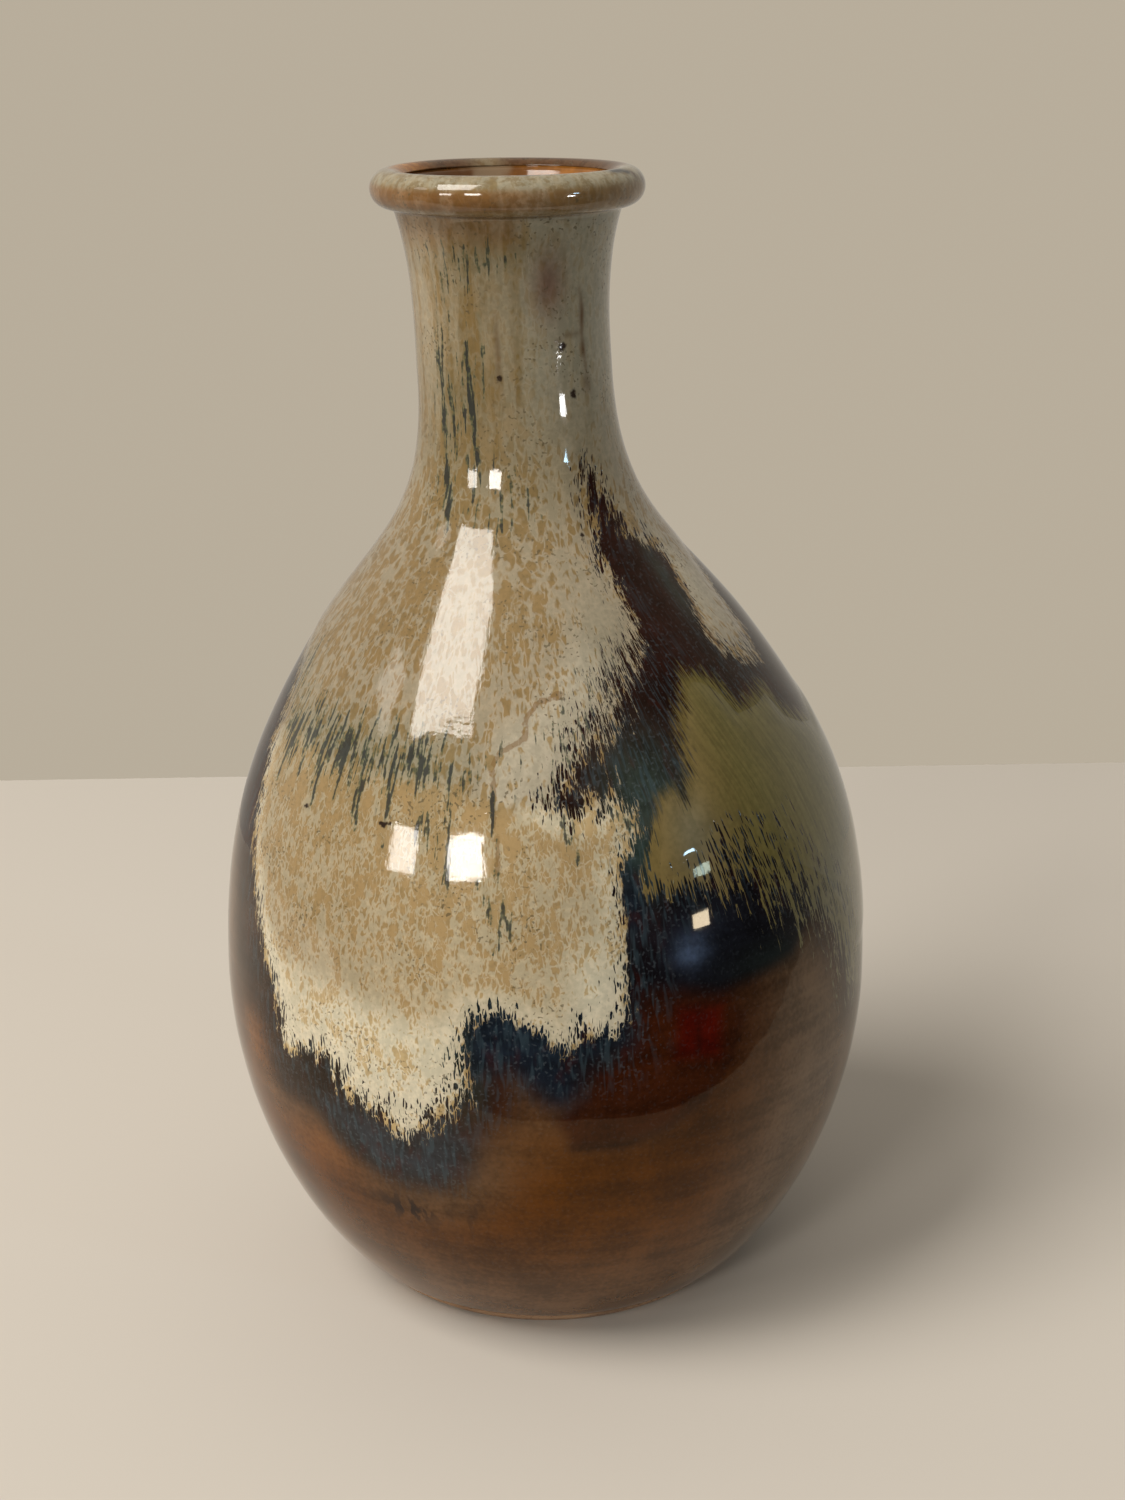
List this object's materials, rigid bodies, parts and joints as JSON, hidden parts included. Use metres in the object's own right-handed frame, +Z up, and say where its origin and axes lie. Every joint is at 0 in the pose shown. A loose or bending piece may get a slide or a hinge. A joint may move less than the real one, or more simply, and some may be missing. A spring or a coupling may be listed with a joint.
{
  "type": "ceramic bud vase",
  "caption": "Wheel-thrown stoneware bottle vase with a round belly, a narrow neck and a rolled rim, under poured cream and olive glazes over brown.",
  "frame": {"origin": "centre of the foot ring, on the surface that the vase stands on", "axes": "+Z up along the body's turning axis, -Y towards the side with the large cream and tan pour, +X to the right seen from that side"},
  "size_m": [0.1474, 0.1475, 0.25],
  "materials": {
    "stoneware": "matte",
    "liner_glaze": "gloss",
    "base_glaze": "gloss",
    "shoulder_glaze": "gloss",
    "belly_glaze": "gloss",
    "olive_glaze": "gloss"
  },
  "bodies": {
    "root": {"clay_body": "stoneware", "liner_glaze": "liner_glaze", "base_glaze": "base_glaze", "shoulder_glaze": "shoulder_glaze", "belly_glaze": "belly_glaze", "olive_glaze": "olive_glaze"}
  },
  "joints": []
}
